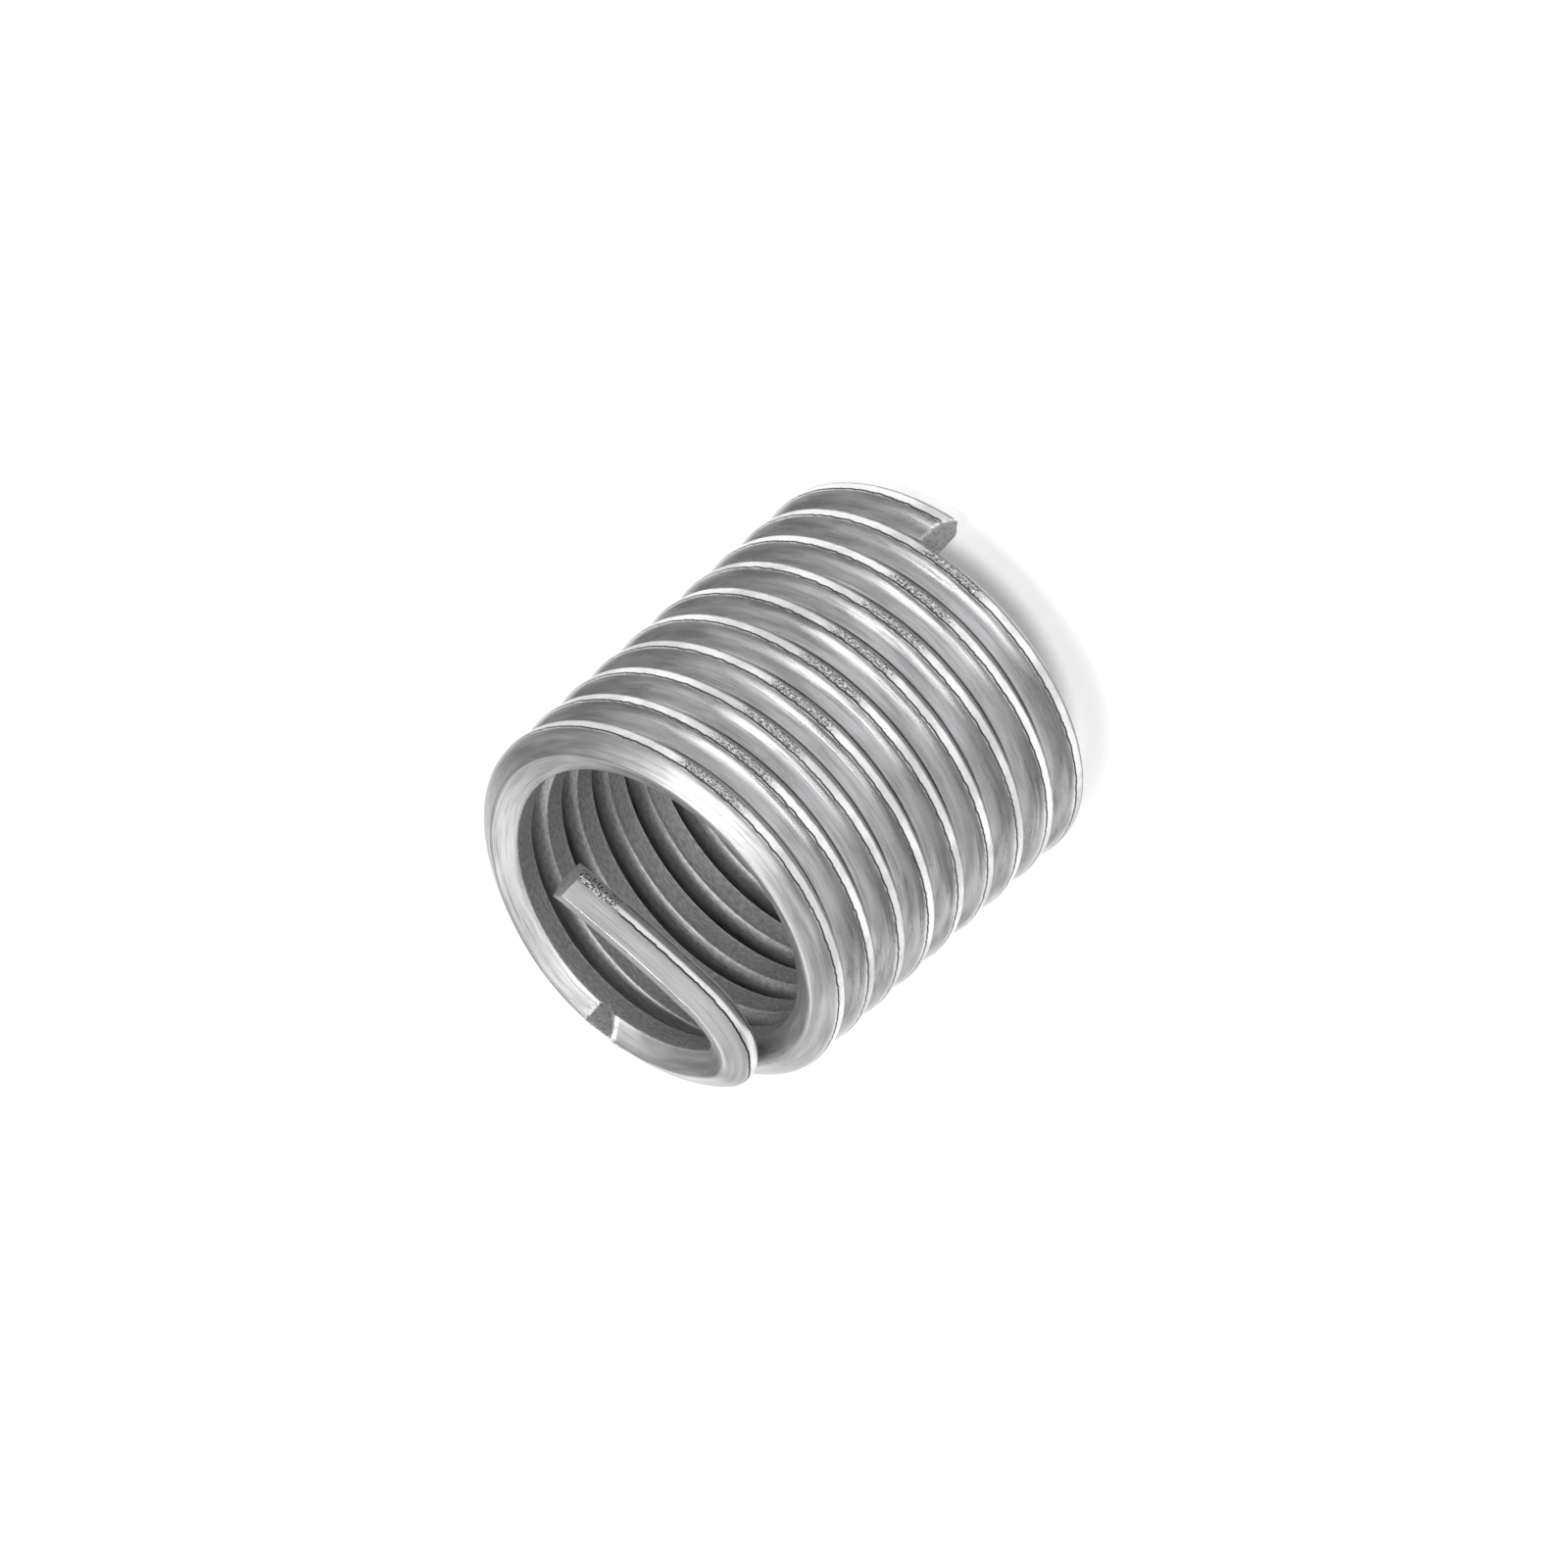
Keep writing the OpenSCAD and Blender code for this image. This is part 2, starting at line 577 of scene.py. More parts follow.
    def build(self) -> Object:
        """Builds the wire as one closed mesh.

        Returns:
            The wire's object, at the origin and in metres.
        """
        bm = bmesh.new()
        Attribute.add_layers(bm)
        self.length, self.path = 0.0, []
        at = self.tip
        ring = self.section.ring(at)
        for bend in self.helix():
            ring = self.sweep(bm, ring, at, bend)
            at = bend.end(at)
        tuck_start, tuck_from = at, self.length
        for bend in (self.tuck, self.hairpin, self.ease, self.tang):
            ring = self.sweep(bm, ring, at, bend)
            at = bend.end(at)
        bmesh.ops.remove_doubles(bm, verts=bm.verts, dist=self.weld)
        self.press_tang(bm, tuck_from + self.tuck.length)
        self.close_ends(bm, at)
        bm.normal_update()
        self.waver(bm)
        half, share = self.section.height / 2, self.notch.turn / self.tuck.sweep
        notch_at = tuck_from + self.tuck.length * share
        self.notch.cut(bm, self.tuck.end(tuck_start, share), notch_at, half)
        self.bevel.cut(bm, self.tip, half)
        bmesh.ops.scale(bm, vec=(MM, MM, MM), verts=bm.verts)
        bmesh.ops.recalc_face_normals(bm, faces=bm.faces)
        mesh = mesh_of(bm, "coiled_wire")
        mesh.shade_smooth()
        mesh.set_sharp_from_angle(angle=math.radians(self.sharp_angle))
        wire = link_object("coiled_wire", mesh)
        log.info("coiled_wire: %d faces, %.0f mm of wire", len(mesh.polygons), self.length)
        return wire

    def dress(self, wire: Object, finish: "DrawnSteel") -> None:
        """Gives the wire its steel and tells the frame what it stands for.

        Args:
            wire: The wire's object.
            finish: The steel's finish.
        """
        wire.data.materials.append(finish.material(self))
        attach(wire, "root")
        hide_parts("wire_coil")


@dataclass
class Bench:
    """Adds nodes to one tree and joins them."""

    tree: NodeTree

    def put(self, socket: Socket, value: Value) -> None:
        """Links a socket or sets its value.

        Args:
            socket: Input to fill.
            value: A number or colour, or another node's output.
        """
        if isinstance(value, Socket):
            self.tree.links.new(value, socket)
        else:
            socket.default_value = value

    def fill(self, sockets: Iterable[Socket], values: Iterable[Value]) -> None:
        """Fills sockets in order."""
        for socket, value in zip(sockets, values):
            self.put(socket, value)

    def fill_named(self, node: Node, values: dict[str, Value]) -> None:
        """Fills a node's inputs by name."""
        self.fill([node.inputs[name] for name in values], values.values())

    def add(self, kind: str, **settings: object) -> Node:
        """Adds a node.

        Args:
            kind: Blender's name of the node type.
            settings: Properties to set on it.

        Returns:
            The node.
        """
        node = self.tree.nodes.new(kind)
        for name, value in settings.items():
            setattr(node, name, value)
        return node

    def math(self, operation: str, *values: Value, clamp: bool = False) -> Socket:
        """Adds a Math node.

        Args:
            operation: Blender's name of the operation.
            values: Its numbers or outputs.
            clamp: Whether the result stays between 0 and 1.

        Returns:
            The result's socket.
        """
        node = self.add("ShaderNodeMath", operation=operation, use_clamp=clamp)
        self.fill(node.inputs, values)
        return node.outputs[0]

    def times(self, first: Value, *others: Value) -> Socket:
        """Product of two or more numbers."""
        for other in others:
            first = self.math("MULTIPLY", first, other)
        return first

    def rest(self, value: Value) -> Socket:
        """What a number lacks to 1."""
        return self.math("SUBTRACT", 1.0, value)

    def ramp(self, value: Value, rise: tuple[Value, Value], base: float = 0.0) -> Socket:
        """Smooth rise from 0 to 1.

        Args:
            value: What is read.
            rise: Where the rise begins and where it ends.
            base: What both are counted from.

        Returns:
            The result's socket.
        """
        node = self.add("ShaderNodeMapRange", interpolation_type="SMOOTHSTEP")
        low, high = (base + end if base else end for end in rise)
        self.fill_named(node, {"Value": value, "From Min": low, "From Max": high})
        return node.outputs["Result"]

    def mix(self, share: Value, a: Value, b: Value) -> Socket:
        """Blends two numbers.

        Args:
            share: 0 gives a and 1 gives b.
            a: First number or output.
            b: Second number or output.

        Returns:
            The result's socket.
        """
        node = self.add("ShaderNodeMix", data_type="FLOAT")
        self.fill((node.inputs[0], node.inputs[2], node.inputs[3]), (share, a, b))
        return node.outputs[0]

    def layers(self, value: Value, *layers: tuple[Socket, Value]) -> Socket:
        """Lays masked values over a first one, in order.

        Args:
            value: The first value.
            layers: A mask and a value for each layer.

        Returns:
            The result's socket.
        """
        for mask, other in layers:
            value = self.mix(mask, value, other)
        return value

    def number(self, which: Attribute) -> Socket:
        """Reads one of the wire's own numbers."""
        return self.add("ShaderNodeAttribute", attribute_name=which.value).outputs["Fac"]

    def body(self) -> Socket:
        """Place on the object, in its own coordinates."""
        return self.add("ShaderNodeTexCoord").outputs["Object"]

    def make_dull(self, shader: Node, grey: float) -> None:
        """Gives a Principled shader one dull grey."""
        colour = (grey, grey, grey, 1.0)
        self.fill_named(
            shader, {"Base Color": colour, "Roughness": 1.0, "Specular IOR Level": 0.0}
        )

    def seen_or_mirrored(self) -> Socket:
        """1 for rays from the camera and for mirrored and refracted rays."""
        path = self.add("ShaderNodeLightPath").outputs
        both = self.math("MAXIMUM", path["Is Camera Ray"], path["Is Glossy Ray"])
        return self.math("MAXIMUM", both, path["Is Transmission Ray"])


def new_material(name: str) -> tuple[Material, Bench, Node]:
    """Makes a material with nodes.

    Args:
        name: The material's name.

    Returns:
        The material, a bench on its tree and its Principled shader.
    """
    made = bpy.data.materials.new(name)
    made.use_nodes = True
    return made, Bench(made.node_tree), made.node_tree.nodes["Principled BSDF"]


@dataclass(frozen=True)
class SkinNoise:
    """Noise that follows the wire, and the rise that makes a mask of it.

    along and across are cells for each millimetre, and layer tells one noise from another.
    """

    along: float
    across: float
    layer: float
    detail: float = 2.0
    rise: Span = (0.0, 1.0)
    roughness: float = 0.6


@dataclass
class Skin(Bench):
    """A bench with the two distances that place a point on the wire's skin."""

    along: Socket
    across: Socket

    def noise(self, kind: SkinNoise) -> Socket:
        """Adds a noise.

        Args:
            kind: Its sizes.

        Returns:
            Socket with values round 0.5.
        """
        place = self.add("ShaderNodeCombineXYZ")
        along, across = self.times(self.along, kind.along), self.times(self.across, kind.across)
        self.fill(place.inputs, (along, across, kind.layer))
        node = self.add("ShaderNodeTexNoise")
        self.fill_named(node, {
            "Vector": place.outputs[0], "Scale": 1.0,
            "Detail": kind.detail, "Roughness": kind.roughness,
        })
        return node.outputs[0]

    def mask(self, kind: SkinNoise) -> Socket:
        """A noise, drawn out to reach from 0 to 1."""
        return self.ramp(self.noise(kind), kind.rise)

    def group(self, tree: NodeTree, **given: Value) -> Node:
        """Places a group that works on the skin.

        Args:
            tree: The group.
            given: Values of its other inputs, by name.

        Returns:
            The group's node.
        """
        node = self.add("ShaderNodeGroup", node_tree=tree)
        self.fill_named(node, {"Along": self.along, "Across": self.across, **given})
        return node


@dataclass(frozen=True)
class GroupSpec:
    """Name and sockets of a shader node group that works on the wire's skin."""

    name: str
    inputs: tuple[tuple[str, float], ...]
    outputs: tuple[str, ...]

    def start(self) -> tuple[Skin, Node, Node]:
        """Makes the empty group.

        Returns:
            The skin on the group's tree, its input node and its output node.
        """
        tree = bpy.data.node_groups.new(self.name, "ShaderNodeTree")
        for name, value in (("Along", 0.0), ("Across", 0.0), *self.inputs):
            socket = tree.interface.new_socket(name, in_out="INPUT", socket_type="NodeSocketFloat")
            socket.default_value = value
        for name in self.outputs:
            tree.interface.new_socket(name, in_out="OUTPUT", socket_type="NodeSocketFloat")
        given, result = Bench(tree).add("NodeGroupInput"), Bench(tree).add("NodeGroupOutput")
        return Skin(tree, given.outputs["Along"], given.outputs["Across"]), given, result


@dataclass(frozen=True)
class DrawnLines:
    """What the drawing die left along the wire."""

    fine: SkinNoise = SkinNoise(0.35, 34.0, 2.0)
    finer: SkinNoise = SkinNoise(0.8, 75.0, 5.0)
    finer_share: float = 0.45
    scores: SkinNoise = SkinNoise(0.22, 13.0, 9.0, 3.0, (0.54, 0.68))
    clouds: SkinNoise = SkinNoise(0.28, 0.9, 14.0, 2.0, (0.3, 0.7))

    def tree(self) -> NodeTree:
        """Builds the group.

        Returns:
            Group with Lines, even and fine, Scores, sparse and deeper, and Cloud, wide and soft.
        """
        skin, _, result = GroupSpec("drawn_lines", (), ("Lines", "Scores", "Cloud")).start()
        lines = skin.mix(self.finer_share, skin.noise(self.fine), skin.noise(self.finer))
        skin.fill(result.inputs, (lines, skin.mask(self.scores), skin.mask(self.clouds)))
        return skin.tree


@dataclass(frozen=True)
class FlatBand:
    """A flat on the wire, with a ragged edge and a thin rim on each side."""

    waver: SkinNoise = SkinNoise(2.6, 0.2, 21.0, 4.0)
    edge: Span = (-0.012, 0.012)
    rim: Span = (0.05, 0.015)
    upper_rim: Span = (0.07, 0.02)

    def tree(self) -> NodeTree:
        """Builds the group.

        Returns:
            Group with Flat, 1 on the flat, Rim, 1 along both edges, and Upper Rim, 1 along the
            edge at To.
        """
        given = (("From", 0.0), ("To", 1.0), ("Ragged", 0.05))
        skin, given, result = GroupSpec("flat_band", given, ("Flat", "Rim", "Upper Rim")).start()
        waver = skin.math("SUBTRACT", skin.noise(self.waver), 0.5)
        place = skin.math("ADD", skin.across, skin.times(waver, given.outputs["Ragged"]))
        low = skin.math("SUBTRACT", place, given.outputs["From"])
        high = skin.math("SUBTRACT", given.outputs["To"], place)
        inside = skin.math("MINIMUM", low, high)
        skin.fill(result.inputs, (
            skin.ramp(inside, self.edge),
            skin.ramp(skin.math("ABSOLUTE", inside), self.rim),
            skin.ramp(skin.math("ABSOLUTE", high), self.upper_rim),
        ))
        return skin.tree


@dataclass(frozen=True)
class Pitting:
    """Torn and pitted skin where a crest rubbed on the winding tool."""

    pits: SkinNoise = SkinNoise(8.5, 12.0, 31.0, 3.0)
    none: float = 0.70
    reach: float = 0.35
    edge: float = 0.07

    def tree(self) -> NodeTree:
        """Builds the group.

        Returns:
            Group with Pits, 1 in a pit.
        """
        skin, given, result = GroupSpec("pitting", (("Amount", 0.5),), ("Pits",)).start()
        low = skin.math("SUBTRACT", self.none, skin.times(given.outputs["Amount"], self.reach))
        rise = (low, skin.math("ADD", low, self.edge))
        skin.put(result.inputs["Pits"], skin.ramp(skin.noise(self.pits), rise))
        return skin.tree


@dataclass
class SteelMasks(Skin):
    """Sockets from 0 to 1 that say where each part of the finish lies on one wire.

    Each adds its nodes when it is first asked for. A zone is a stretch along the wire or across
    its skin, in millimetres, and is negative before the tuck or before the wire's end.
    """

    wire: CoiledWire
    tang_zone: Span = (0.0, 3.0)
    tang_crest: float = 0.10
    crest_ragged: float = 0.16
    root_ragged: float = 0.10
    # Where shade is painted on the outer crest's lower side.
    far_shade_zone: Span = (0.33, 0.21)
    far_shade_ragged: float = 0.14
    worn_azimuth: float = -75.0
    worn_cosine: Span = (0.972, 0.993)
    torn_zone: Span = (-3.1, -2.3)
    matt_zone: Span = (-52.0, -40.0)
    matt_share: float = 0.30
    coiled_zone: Span = (-46.0, -52.0)
    inner_below: Span = (-0.85, -0.35)
    inner_above: Span = (0.85, 0.35)
    # Where shade is painted in the bore's grooves.
    groove_shade_zone: Span = (-0.05, 0.15)
    # Where a glint is painted on the upper ridge.
    ridge_glint_zone: Span = (0.10, 0.05)
    tip_zone: Span = (3.0, 2.5)
    end_zone: Span = (-2.0, -1.5)
    patches_on_tang: float = 0.35
    worn_pits: float = 0.95
    most_pits: float = 0.62
    least_pits: float = 0.12
    grain_cells: float = 7.0
    grain_detail: float = 3.0
    ragged_noise: SkinNoise = SkinNoise(2.2, 0.2, 50.0, 4.0)
    speckle_noise: SkinNoise = SkinNoise(3.0, 9.0, 70.0, 3.0, (0.30, 0.70))
    patch_noise: SkinNoise = SkinNoise(0.26, 1.9, 80.0, 2.0, (0.34, 0.66))

    @cached_property
    def bands(self) -> SectionBands:
        """The flats and ridges of the wire's section."""
        return SectionBands.of(self.wire.section)

    @cached_property
    def flats(self) -> NodeTree:
        """The group that draws a flat."""
        return FlatBand().tree()

    @cached_property
    def lines(self) -> Node:
        """Die lines, scores and clouds."""
        return self.group(DrawnLines().tree())

    @property
    def tuck_from(self) -> float:
        """Distance along the wire at which the full-diameter turns end."""
        return self.wire.path[len(self.wire.helix())][0]

    @cached_property
    def cut(self) -> Socket:
        """1 where a tool has cut the wire."""
        return self.math("MULTIPLY", self.number(Attribute.CUT), 1.0, clamp=True)

    @cached_property
    def tang(self) -> Socket:
        """1 on the hairpin and the tang."""
        begins = self.tuck_from + self.wire.tuck.length
        return self.ramp(self.along, self.tang_zone, begins)

    @cached_property
    def crest(self) -> Node:
        """The outer crest's flat and rims."""
        low, high = self.bands.crest
        top = self.mix(self.tang, high, high + self.tang_crest)
        return self.group(self.flats, From=low, To=top, Ragged=self.crest_ragged)

    @cached_property
    def root(self) -> Node:
        """The inner crest's flat and rims."""
        low, high = self.bands.root
        return self.group(self.flats, From=low, To=high, Ragged=self.root_ragged)

    @cached_property
    def flat(self) -> Socket:
        """1 on either flat."""
        return self.math("MAXIMUM", self.crest.outputs["Flat"], self.root.outputs["Flat"])

    @cached_property
    def worn(self) -> Socket:
        """1 on the torn side of the coil."""
        turned = self.math("DIVIDE", self.along, self.wire.ridge_r)
        start = self.wire.tuck_at - 360.0 * self.wire.turns - self.worn_azimuth
        facing = self.math("COSINE", self.math("ADD", turned, math.radians(start)))
        return self.ramp(facing, self.worn_cosine)

    @cached_property
    def torn_end(self) -> Socket:
        """1 on the torn end of the tang."""
        return self.ramp(self.along, self.torn_zone, self.wire.length)

    @cached_property
    def pitted(self) -> Socket:
        """1 in the outer crest's pits."""
        torn = self.math("MAXIMUM", self.times(self.worn, self.worn_pits), self.torn_end)
        torn = self.times(torn, self.most_pits)
        amount = self.math("MAXIMUM", torn, self.least_pits)
        pits = self.group(Pitting().tree(), Amount=amount)
        return self.times(pits.outputs["Pits"], self.crest.outputs["Flat"])

    @cached_property
    def crest_shade_line(self) -> Socket:
        """1 on the painted shade line along the outer crest's upper edge."""
        return self.times(self.crest.outputs["Upper Rim"], self.rest(self.torn_end))

    @cached_property
    def painted_far_shade(self) -> Socket:
        """1 on the outer crest's lower side, where shade is painted."""
        ragged = self.times(self.noise(self.ragged_noise), self.far_shade_ragged)
        place = self.math("ADD", self.across, ragged)
        far = self.ramp(place, self.far_shade_zone, self.bands.crest[0])
        return self.times(far, self.rest(self.torn_end))

    @cached_property
    def scores(self) -> Socket:
        """1 in the scores, which the flats have none of."""
        return self.times(self.lines.outputs["Scores"], self.rest(self.flat))

    @cached_property
    def matt(self) -> Socket:
        """1 on the tang, and less on the last turn before it."""
        matt = self.ramp(self.along, self.matt_zone, self.tuck_from)
        return self.math("MAXIMUM", self.times(matt, self.matt_share), self.tang)

    @cached_property
    def patches(self) -> Socket:
        """Soft light and dark patches, weaker on the tang."""
        weaker = self.mix(self.tang, 1.0, self.patches_on_tang)
        return self.times(self.mask(self.patch_noise), weaker)

    @cached_property
    def speckle(self) -> Socket:
        """Fine specks."""
        return self.mask(self.speckle_noise)

    @cached_property
    def coiled(self) -> Socket:
        """1 on all turns but the last."""
        return self.ramp(self.along, self.coiled_zone, self.tuck_from)

    @cached_property
    def inner(self) -> Socket:
        """1 on the bore's side of the coiled turns, and on all of the inner crest."""
        low, high = self.bands.root
        below = self.ramp(self.across, self.inner_below, low)
        above = self.ramp(self.across, self.inner_above, high)
        inner = self.times(below, above, self.coiled)
        return self.math("MAXIMUM", inner, self.root.outputs["Flat"])

    @cached_property
    def painted_groove_shade(self) -> Socket:
        """1 in the bore's grooves, where shade is painted."""
        deep = self.ramp(self.across, self.groove_shade_zone, self.bands.ridge)
        return self.times(deep, self.rest(self.inner), self.coiled)

    @cached_property
    def ridge(self) -> Socket:
        """1 on the painted glint along the upper ridge, where the wire is matt."""
        away = self.math("ABSOLUTE", self.math("SUBTRACT", self.across, self.bands.ridge))
        return self.times(self.ramp(away, self.ridge_glint_zone), self.matt)

    @cached_property
    def ends(self) -> Socket:
        """1 near both ends of the wire."""
        tang_end = self.ramp(self.along, self.end_zone, self.wire.length)
        return self.math("MAXIMUM", self.ramp(self.along, self.tip_zone), tang_end)

    @cached_property
    def grain(self) -> Socket:
        """Noise of the cut faces, which follows the object's own coordinates."""
        node = self.add("ShaderNodeTexNoise")
        self.fill_named(node, {
            "Vector": self.body(), "Scale": self.grain_cells / MM, "Detail": self.grain_detail,
        })
        return node.outputs[0]


@dataclass(frozen=True)
class DrawnSteel:
    """Bright drawn stainless steel with die lines, worn flats and thin rims.

    The greys are plain colours, but some of them are painted light and shade: painted glints on
    the inner crest's rims, the upper ridge and the burrs, and painted shade in the bore's grooves
    and on the outer crest's upper edge and lower side. A share or roughs multiplies the value
    that it varies.
    """

    flank_grey: float = 0.70
    flat_grey: float = 0.94
    # Painted shade on the outer crest's lower side.
    far_shade_grey: float = 0.28
    root_grey: float = 0.72
    tang_grey: float = 0.78
    # Painted shade: the dark line along the outer crest's upper edge.
    crest_shade_line_grey: float = 0.06
    worn_grey: float = 0.44
    cut_grey: float = 0.42
    end_grey: float = 0.80
    pit_grey: float = 0.14
    # Painted highlight: glints along the inner crest's rims; also the worn crest's bright flecks.
    glint_and_fleck_grey: float = 0.92
    # Painted highlight on the upper ridge.
    ridge_glint_grey: float = 0.80
    score_grey: float = 0.40
    # Painted shade: share of the grey left in the bore's grooves.
    groove_shade_share: float = 0.55
    dull_share: float = 0.68
    score_share: float = 0.5
    chip_share: float = 0.4
    blue_share: float = 1.012
    patch_shares: Span = (0.85, 1.18)
    speckle_shares: Span = (0.80, 1.22)
    glint_shares: Span = (0.0, 0.95)
    line_shares: Span = (0.88, 1.10)
    cloud_shares: Span = (0.94, 1.04)
    flank_rough: float = 0.26
    flat_rough: float = 0.34
    tang_rough: float = 0.62
    root_rough: float = 0.52
    pit_rough: float = 0.55
    patch_roughs: Span = (0.90, 1.30)
    line_roughs: Span = (0.8, 1.25)
    dulled: SkinNoise = SkinNoise(0.35, 0.4, 40.0, 3.0, (0.36, 0.62))
    flecks: SkinNoise = SkinNoise(7.0, 13.0, 60.0, 2.0, (0.52, 0.60))
    chip_grain: Span = (0.44, 0.38)
    # Painted highlight: glints on the burrs beside the cuts.
    burr_glint_grain: Span = (0.42, 0.52)
    burr_glint_gain: float = 4.0
    line_height: float = 0.35
    score_depth: float = 0.5
    pit_depth: float = 2.0
    grain_height: float = 1.2
    broad_bump: Span = (0.6, 0.016)
    fine_bump: Span = (0.4, 0.02)

    def outside(self, on: SteelMasks) -> Socket:
        """Grey of the flanks, and of the crest: patchy, torn on one side, with painted shade below.

        Args:
            on: The wire's masks.

        Returns:
            The grey's socket.
        """
        dull = self.dull_share * self.flat_grey
        # The worn crest's bright flecks share their grey with the painted rim glints.
        torn = on.mix(on.mask(self.flecks), self.worn_grey, self.glint_and_fleck_grey)
        crest = on.layers(
            on.mix(on.mask(self.dulled), dull, self.flat_grey),
            # The crest's lower side takes painted shade.
            (on.tang, self.flat_grey), (on.worn, torn), (on.painted_far_shade, self.far_shade_grey),
        )
        flank = on.mix(on.matt, self.flank_grey, self.tang_grey)
        flank = on.times(flank, on.mix(on.patches, *self.patch_shares))
        return on.mix(on.crest.outputs["Flat"], flank, crest)

    def colour(self, on: SteelMasks) -> Socket:
        """The steel's colour.

        Args:
            on: The wire's masks.

        Returns:
            The colour's socket.
        """
        grey = self.outside(on)
        # Painted highlight: glints along the inner crest's rims.
        glints = on.times(on.root.outputs["Rim"], on.mix(on.speckle, *self.glint_shares))
        chips = on.times(on.cut, on.ramp(on.grain, self.chip_grain), self.chip_share)
        # Painted highlight: glints on the burrs of the torn rim beside a cut.
        burrs = on.times(on.cut, on.rest(on.cut), on.ramp(on.grain, self.burr_glint_grain))
        grey = on.layers(
            grey,
            # Painted shade: the bore's grooves darkened.
            (on.painted_groove_shade, on.times(grey, self.groove_shade_share)),
            (on.inner, on.times(self.root_grey, on.mix(on.speckle, *self.speckle_shares))),
            (on.times(on.scores, self.score_share), self.score_grey),
            # Painted highlights along the inner crest's rims and the upper ridge; the pits are real
            # pits.
            (glints, self.glint_and_fleck_grey), (on.ridge, self.ridge_glint_grey), (on.pitted, self.pit_grey),
            # Painted shade: the dark line along the outer crest's upper edge.
            (on.crest_shade_line, self.crest_shade_line_grey),
            (on.cut, on.mix(on.ends, self.cut_grey, self.end_grey)),
            (chips, self.pit_grey),
            # The burrs' painted glints.
            (on.math("MULTIPLY", burrs, self.burr_glint_gain, clamp=True), self.flat_grey),
        )
        shade = on.mix(on.lines.outputs["Lines"], *self.line_shares)
        cloud = on.mix(on.lines.outputs["Cloud"], *self.cloud_shares)
        grey = on.times(grey, shade, cloud)
        colour = on.add("ShaderNodeCombineColor")
        on.fill(colour.inputs, (grey, grey, on.times(grey, self.blue_share)))
        return colour.outputs[0]

    def roughness(self, on: SteelMasks) -> Socket:
        """The steel's roughness.

        Args:
            on: The wire's masks.

        Returns:
            The roughness's socket.
        """
        rough = on.layers(
            on.times(self.flank_rough, on.mix(on.patches, *self.patch_roughs)),
            (on.matt, self.tang_rough), (on.flat, self.flat_rough), (on.inner, self.root_rough),
            (on.ridge, self.flank_rough), (on.pitted, self.pit_rough), (on.cut, self.pit_rough),
        )
        return on.times(rough, on.mix(on.lines.outputs["Lines"], *self.line_roughs))

    def relief(self, on: SteelMasks) -> Socket:
        """The steel's normals: fine lines, scores, pits and grain on wide soft waves.

        Args:
            on: The wire's masks.

        Returns:
            The normals' socket.
        """
        height = on.times(on.lines.outputs["Lines"], self.line_height)
        height = on.math("SUBTRACT", height, on.times(on.scores, self.score_depth))
        height = on.math("SUBTRACT", height, on.times(on.pitted, self.pit_depth))
        height = on.math("ADD", height, on.times(on.cut, on.grain, self.grain_height))
        normal = None
        for (strength, depth), relief in (
            (self.broad_bump, on.lines.outputs["Cloud"]), (self.fine_bump, height),
        ):
            bump = on.add("ShaderNodeBump")
            on.fill_named(bump, {"Strength": strength, "Distance": depth * MM, "Height": relief})
            if normal:
                on.put(bump.inputs["Normal"], normal)
            normal = bump.outputs[0]
        return normal

    def material(self, wire: CoiledWire) -> Material:
        """Builds the material.

        Args:
            wire: The wire that it dresses.

        Returns:
            The material.
        """
        steel, bench, shader = new_material("satin_drawn_steel")
        along, across = bench.number(Attribute.ALONG), bench.number(Attribute.ACROSS)
        on = SteelMasks(bench.tree, along, across, wire)
        bench.fill_named(shader, {
            "Base Color": self.colour(on), "Roughness": self.roughness(on),
            "Normal": self.relief(on), "Metallic": 1.0,
        })
        return steel


@dataclass(frozen=True)
class PaleFloor:
    """Pale floor that is lifted to white away from the insert, with a painted shadow: the lift is
    dimmed in a disc under the bore.
    """

    grey: float = 0.8
    lift: float = 0.62
    # Painted shadow: share of the lift kept in the disc under the insert, and the disc's radius and
    # edge.
    shadowed_bore_lift: float = 0.3
    painted_shadow_radius: float = 7.3
    painted_shadow_edge: Span = (-1.5, 0.3)

    def material(self) -> Material:
        """Builds the material.

        Returns:
            The material.
        """
        pale, bench, shader = new_material("pale_floor")
        bench.make_dull(shader, self.grey)
        away = bench.add("ShaderNodeVectorMath", operation="LENGTH")
        bench.put(away.inputs[0], bench.body())
        edge = (self.painted_shadow_edge[0] * MM, self.painted_shadow_edge[1] * MM)
        outside = bench.ramp(away.outputs["Value"], edge, self.painted_shadow_radius * MM)
        lift = bench.times(bench.seen_or_mirrored(), self.lift)
        glow = bench.add("ShaderNodeEmission")
        # Painted shadow: the lift is dimmed in a disc under the insert.
        strength = bench.times(lift, bench.mix(outside, self.shadowed_bore_lift, 1.0))
        bench.put(glow.inputs["Strength"], strength)
        both = bench.add("ShaderNodeAddShader")
        bench.fill(both.inputs, (shader.outputs[0], glow.outputs[0]))
        bench.put(bench.tree.nodes["Material Output"].inputs["Surface"], both.outputs[0])
        return pale


class PaleBackdrop:
    """White that the camera and mirrored rays see, and that lights nothing else."""

    def material(self) -> Material:
        """Builds the material.

        Returns:
            The material.
        """
        pale, bench, shader = new_material("pale_backdrop")
        bench.make_dull(shader, 0.0)
        seen = bench.seen_or_mirrored()
        bench.fill_named(shader, {"Emission Color": WHITE, "Emission Strength": seen})
        return pale


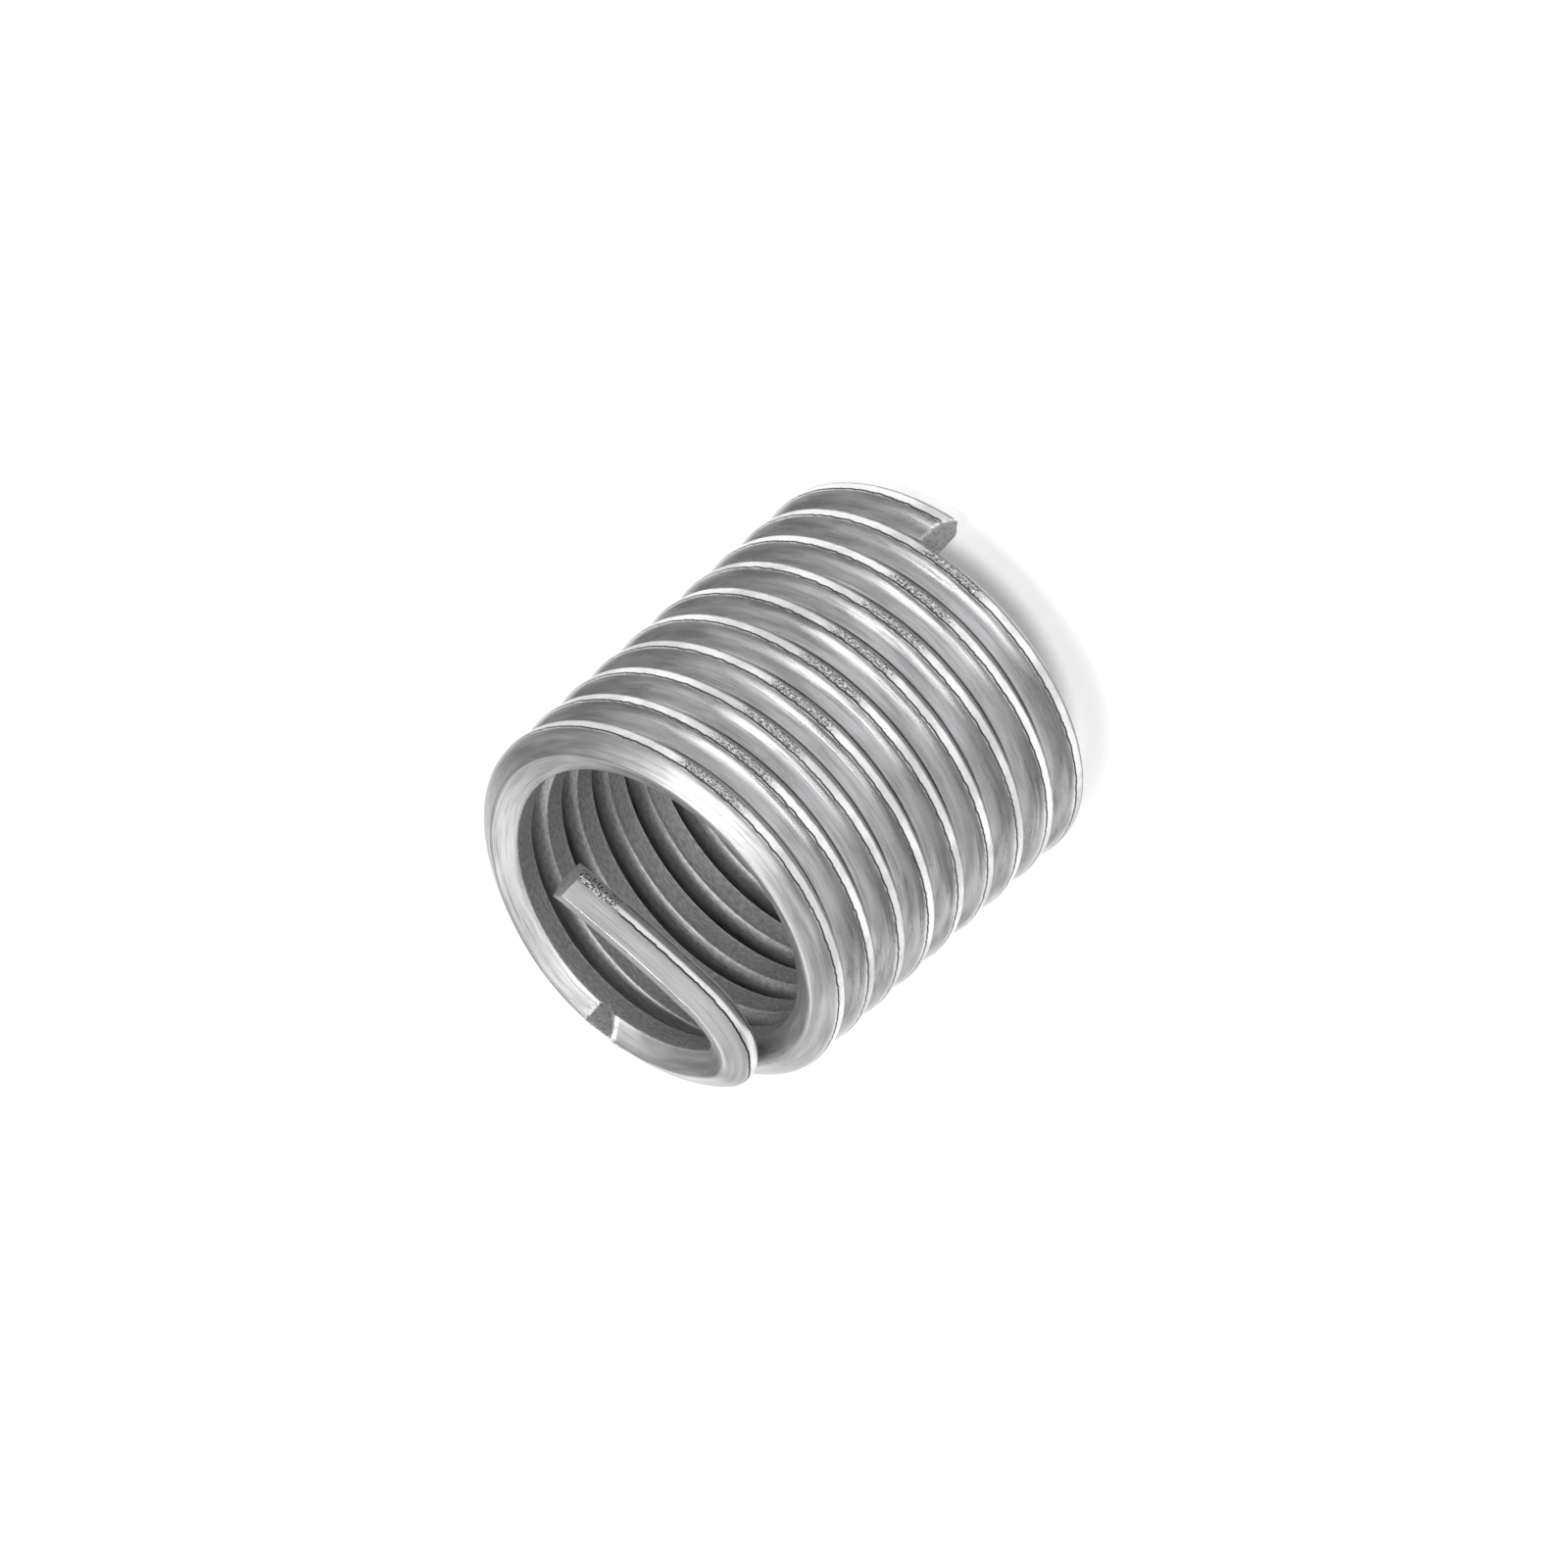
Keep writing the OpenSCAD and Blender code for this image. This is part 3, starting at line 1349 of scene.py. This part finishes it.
@dataclass(frozen=True)
class Softbox:
    """A soft lamp, placed by the direction from the insert in which it stands."""

    name: str
    toward: Triple
    long_way: Triple
    size: Span
    level: float
    distance: float = 0.6

    def build(self, target: Vector) -> None:
        """Makes the lamp.

        Args:
            target: Point that it faces.
        """
        lamp = bpy.data.lights.new(self.name, "AREA")
        lamp.shape = "RECTANGLE"
        lamp.size, lamp.size_y = self.size
        lamp.energy = self.level * math.pi * self.size[0] * self.size[1]
        box = link_object(self.name, lamp)
        back = Vector(self.toward).normalized()
        side = Vector(self.long_way)
        side = (side - side.dot(back) * back).normalized()
        turned = Matrix((side, back.cross(side), back)).transposed().to_4x4()
        box.matrix_world = Matrix.Translation(target + back * self.distance) @ turned
        box.visible_camera = False


@dataclass
class Studio:
    """Pale floor, low white backdrop, soft lamps, even sky and the camera."""

    centre: Triple = (0.41, 0.0, 10.87)
    right: Triple = (-0.6647, -0.4012, -0.6301)
    up: Triple = (0.7471, -0.3569, -0.5606)
    back: Triple = (0.0, -0.8433, 0.5369)
    distance: float = 1200.0
    width: float = 67.69
    sensor: float = 36.0
    clip: Span = (0.05, 50.0)
    floor_side: float = 4.0
    wall_radius: float = 1.9
    wall_height: float = 0.14
    wall_sides: int = 96
    sky: float = 0.25
    lamps: tuple[Softbox, ...] = (
        Softbox("top_front_long", (0.05, -0.19, 0.97), (0.85, 0.20, 0.0), (0.40, 0.20), 2.7),
        Softbox("top_front_small", (0.30, -0.16, 0.94), (0.85, 0.33, -0.2), (0.18, 0.22), 2.4),
        Softbox("back_high", (0.0, 0.84, 0.54), (1.0, 0.0, 0.0), (0.16, 0.12), 1.2),
        Softbox("top_right", (0.59, 0.12, 0.79), (0.2, 1.0, 0.0), (0.22, 0.12), 0.6),
        Softbox("back_left", (-0.42, 0.44, 0.79), (0.3, -0.6, 0.48), (0.56, 0.22), 1.35),
        Softbox("back_left_low", (-0.62, 0.76, 0.22), (0.7, 0.6, 0.0), (0.40, 0.20), 0.25),
        Softbox("left_low", (-0.90, 0.38, 0.18), (0.3, 0.9, 0.0), (0.24, 0.24), 1.0),
        Softbox("back_low", (-0.12, 0.98, 0.10), (1.0, 0.1, 0.0), (0.30, 0.12), 0.9),
        Softbox("front_low", (0.0, -0.97, 0.24), (1.0, 0.0, 0.0), (0.90, 0.22), 1.0),
    )

    def shoot(self) -> None:
        """Sets up the camera."""
        lens = bpy.data.cameras.new("camera")
        lens.sensor_width = self.sensor
        lens.lens = self.sensor * self.distance / self.width
        lens.clip_start, lens.clip_end = self.clip
        camera = link_object("camera", lens)
        turned = Matrix((self.right, self.up, self.back)).transposed().to_4x4()
        place = Vector(self.centre) + self.distance * Vector(self.back)
        camera.matrix_world = Matrix.Translation(place * MM) @ turned
        bpy.context.scene.camera = camera

    def lay_floor(self) -> None:
        """Lays the pale floor."""
        bm = bmesh.new()
        bmesh.ops.create_grid(bm, x_segments=1, y_segments=1, size=self.floor_side / 2)
        floor = link_object("floor", mesh_of(bm, "floor"))
        floor.data.materials.append(PaleFloor().material())

    def raise_backdrop(self) -> None:
        """Raises the low pale wall round the floor, which stands white behind a low view."""
        bm = bmesh.new()
        bmesh.ops.create_cone(
            bm, cap_ends=False, segments=self.wall_sides, radius1=self.wall_radius,
            radius2=self.wall_radius, depth=self.wall_height,
        )
        bmesh.ops.translate(bm, vec=(0.0, 0.0, self.wall_height / 2), verts=bm.verts)
        backdrop = link_object("backdrop", mesh_of(bm, "backdrop"))
        backdrop.data.shade_smooth()
        backdrop.data.materials.append(PaleBackdrop().material())

    def light(self) -> None:
        """Sets up the lamps and the even sky."""
        for softbox in self.lamps:
            softbox.build(Vector(self.centre) * MM)
        world = bpy.data.worlds.new("surroundings")
        world.use_nodes = True
        bpy.context.scene.world = world
        sky = world.node_tree.nodes["Background"]
        sky.inputs["Color"].default_value = WHITE
        sky.inputs["Strength"].default_value = self.sky


def main() -> None:
    """Builds the studio and the insert in order, and reports the wire."""
    logging.basicConfig(level=logging.INFO, format="%(name)s: %(message)s")
    studio = Studio()
    studio.shoot()
    studio.lay_floor()
    studio.raise_backdrop()
    studio.light()
    coil = CoiledWire()
    wire = coil.build()
    coil.dress(wire, DrawnSteel())
    log.info("coiled_wire: dressed and riding on root")
    bpy.context.scene.view_settings.view_transform = "Standard"


if __name__ == "__main__":
    main()
